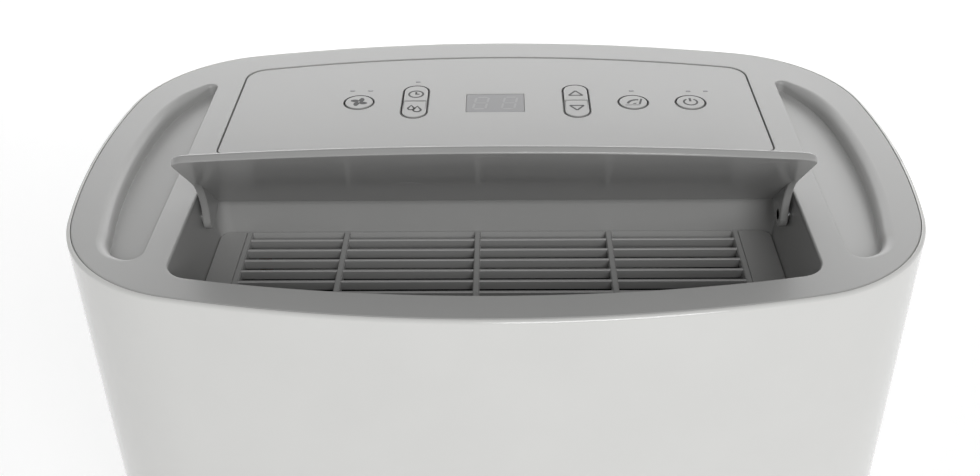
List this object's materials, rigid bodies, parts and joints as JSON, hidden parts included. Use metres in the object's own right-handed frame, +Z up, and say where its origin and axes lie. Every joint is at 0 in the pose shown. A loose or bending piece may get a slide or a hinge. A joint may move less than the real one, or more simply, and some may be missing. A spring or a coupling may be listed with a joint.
{
  "type": "dehumidifier",
  "caption": "Upright compressor dehumidifier with a bowed oval case, a top outlet well under a powered flap, a touch-key panel and a rear water tank, on swivel casters.",
  "frame": {"origin": "on the floor under the centre of the case's plan", "axes": "+Z up, the front faces -Y, the control panel reads from the front with +X to the right"},
  "size_m": [0.386, 0.259, 0.5499],
  "materials": {
    "case_white": "gloss moulded",
    "case_white_satin": "satin moulded",
    "base_grey": "matt moulded",
    "deck_grey": "fine satin",
    "window_smoke": "gloss tinted",
    "lens_clear": "gloss",
    "circuit_board": "solder mask",
    "black_plastic": "moulded",
    "grille_grey": "satin",
    "flap_grey": "satin",
    "steel": "bright",
    "white_plastic": "moulded",
    "painted_black": "enamel",
    "aluminium": "bare fins",
    "copper": "bare tube",
    "rubber": "matt",
    "tank_grey": "translucent look",
    "foam_white": "foam",
    "filter_mesh": "woven mesh in frame",
    "wheel_grey": "moulded",
    "key_grey": "fine satin"
  },
  "bodies": {
    "case": {"air_shroud": "white_plastic", "base_pan": "base_grey", "case_screws": "steel", "compressor": "painted_black", "compressor_grommets": "rubber", "condenser": "aluminium", "control_board": "circuit_board", "control_box": "white_plastic", "control_panel": "deck_grey", "cord_gland": "black_plastic", "digit_display": "black_plastic", "display_board": "circuit_board", "display_window": "window_smoke", "drain_spigot": "black_plastic", "drip_tray": "white_plastic", "evaporator": "aluminium", "fan_motor": "painted_black", "fan_scroll": "black_plastic", "flap_bush": "black_plastic", "flap_motor": "steel", "float_switch": "black_plastic", "front_shell": "case_white", "indicator_lenses": "lens_clear", "outlet_grille": "grille_grey", "partition": "white_plastic", "rear_shell": "case_white_satin", "refrigerant_pipes": "copper", "run_capacitor": "aluminium", "tact_switches": "black_plastic", "top_deck": "deck_grey"},
    "flap": {"outlet_flap": "flap_grey", "flap_drive_shaft": "steel"},
    "fan": {"fan_wheel": "white_plastic"},
    "tank": {"water_tank": "tank_grey", "tank_lid": "tank_grey"},
    "float": {"tank_float": "foam_white"},
    "filter": {"intake_grille": "case_white_satin", "air_filter": "filter_mesh"},
    "fan_key_cap": {"fan_key": "key_grey"},
    "timer_key_cap": {"timer_key": "key_grey"},
    "humidity_key_cap": {"humidity_key": "key_grey"},
    "up_key_cap": {"up_key": "key_grey"},
    "down_key_cap": {"down_key": "key_grey"},
    "louver_key_cap": {"louver_key": "key_grey"},
    "power_key_cap": {"power_key": "key_grey"},
    "caster_front_left": {"caster_fork_front_left": "black_plastic", "caster_axle_front_left": "steel"},
    "wheel_front_left": {"caster_wheel_front_left": "wheel_grey"},
    "caster_front_right": {"caster_fork_front_right": "black_plastic", "caster_axle_front_right": "steel"},
    "wheel_front_right": {"caster_wheel_front_right": "wheel_grey"},
    "caster_rear_left": {"caster_fork_rear_left": "black_plastic", "caster_axle_rear_left": "steel"},
    "wheel_rear_left": {"caster_wheel_rear_left": "wheel_grey"},
    "caster_rear_right": {"caster_fork_rear_right": "black_plastic", "caster_axle_rear_right": "steel"},
    "wheel_rear_right": {"caster_wheel_rear_right": "wheel_grey"}
  },
  "joints": [
    {"name": "flap_hinge", "type": "hinge", "parent": "case", "child": "flap", "pos_m": [0, -0.033, 0.487], "axis": [-1, 0, 0], "range_deg": [-44, 36]},
    {"name": "fan_spin", "type": "hinge", "parent": "case", "child": "fan", "pos_m": [0, -0.07, 0.33], "axis": [0, 1, 0], "continuous": true},
    {"name": "tank_slide", "type": "slide", "parent": "case", "child": "tank", "axis": [0, 1, 0], "range_m": [0, 0.12]},
    {"name": "float_hinge", "type": "hinge", "parent": "tank", "child": "float", "pos_m": [0.096, 0.046, 0.19], "axis": [1, 0, 0], "range_deg": [0, 15]},
    {"name": "filter_slide", "type": "slide", "parent": "case", "child": "filter", "axis": [0, 1, 0], "range_m": [0, 0.05]},
    {"name": "fan_key_press", "type": "slide", "parent": "case", "child": "fan_key_cap", "axis": [0, 0, -1], "range_m": [0, 0.0006], "stiffness_N_per_m": 1500, "springref_m": -0.0003},
    {"name": "timer_key_press", "type": "slide", "parent": "case", "child": "timer_key_cap", "axis": [0, 0, -1], "range_m": [0, 0.0006], "stiffness_N_per_m": 1500, "springref_m": -0.0003},
    {"name": "humidity_key_press", "type": "slide", "parent": "case", "child": "humidity_key_cap", "axis": [0, 0, -1], "range_m": [0, 0.0006], "stiffness_N_per_m": 1500, "springref_m": -0.0003},
    {"name": "up_key_press", "type": "slide", "parent": "case", "child": "up_key_cap", "axis": [0, 0, -1], "range_m": [0, 0.0006], "stiffness_N_per_m": 1500, "springref_m": -0.0003},
    {"name": "down_key_press", "type": "slide", "parent": "case", "child": "down_key_cap", "axis": [0, 0, -1], "range_m": [0, 0.0006], "stiffness_N_per_m": 1500, "springref_m": -0.0003},
    {"name": "louver_key_press", "type": "slide", "parent": "case", "child": "louver_key_cap", "axis": [0, 0, -1], "range_m": [0, 0.0006], "stiffness_N_per_m": 1500, "springref_m": -0.0003},
    {"name": "power_key_press", "type": "slide", "parent": "case", "child": "power_key_cap", "axis": [0, 0, -1], "range_m": [0, 0.0006], "stiffness_N_per_m": 1500, "springref_m": -0.0003},
    {"name": "swivel_front_left", "type": "hinge", "parent": "case", "child": "caster_front_left", "pos_m": [-0.128, -0.068, 0.03], "axis": [0, 0, 1], "continuous": true},
    {"name": "roll_front_left", "type": "hinge", "parent": "caster_front_left", "child": "wheel_front_left", "pos_m": [-0.128, -0.06, 0.012], "axis": [1, 0, 0], "continuous": true},
    {"name": "swivel_front_right", "type": "hinge", "parent": "case", "child": "caster_front_right", "pos_m": [0.128, -0.068, 0.03], "axis": [0, 0, 1], "continuous": true},
    {"name": "roll_front_right", "type": "hinge", "parent": "caster_front_right", "child": "wheel_front_right", "pos_m": [0.128, -0.06, 0.012], "axis": [1, 0, 0], "continuous": true},
    {"name": "swivel_rear_left", "type": "hinge", "parent": "case", "child": "caster_rear_left", "pos_m": [-0.128, 0.068, 0.03], "axis": [0, 0, 1], "continuous": true},
    {"name": "roll_rear_left", "type": "hinge", "parent": "caster_rear_left", "child": "wheel_rear_left", "pos_m": [-0.128, 0.076, 0.012], "axis": [1, 0, 0], "continuous": true},
    {"name": "swivel_rear_right", "type": "hinge", "parent": "case", "child": "caster_rear_right", "pos_m": [0.128, 0.068, 0.03], "axis": [0, 0, 1], "continuous": true},
    {"name": "roll_rear_right", "type": "hinge", "parent": "caster_rear_right", "child": "wheel_rear_right", "pos_m": [0.128, 0.076, 0.012], "axis": [1, 0, 0], "continuous": true}
  ]
}
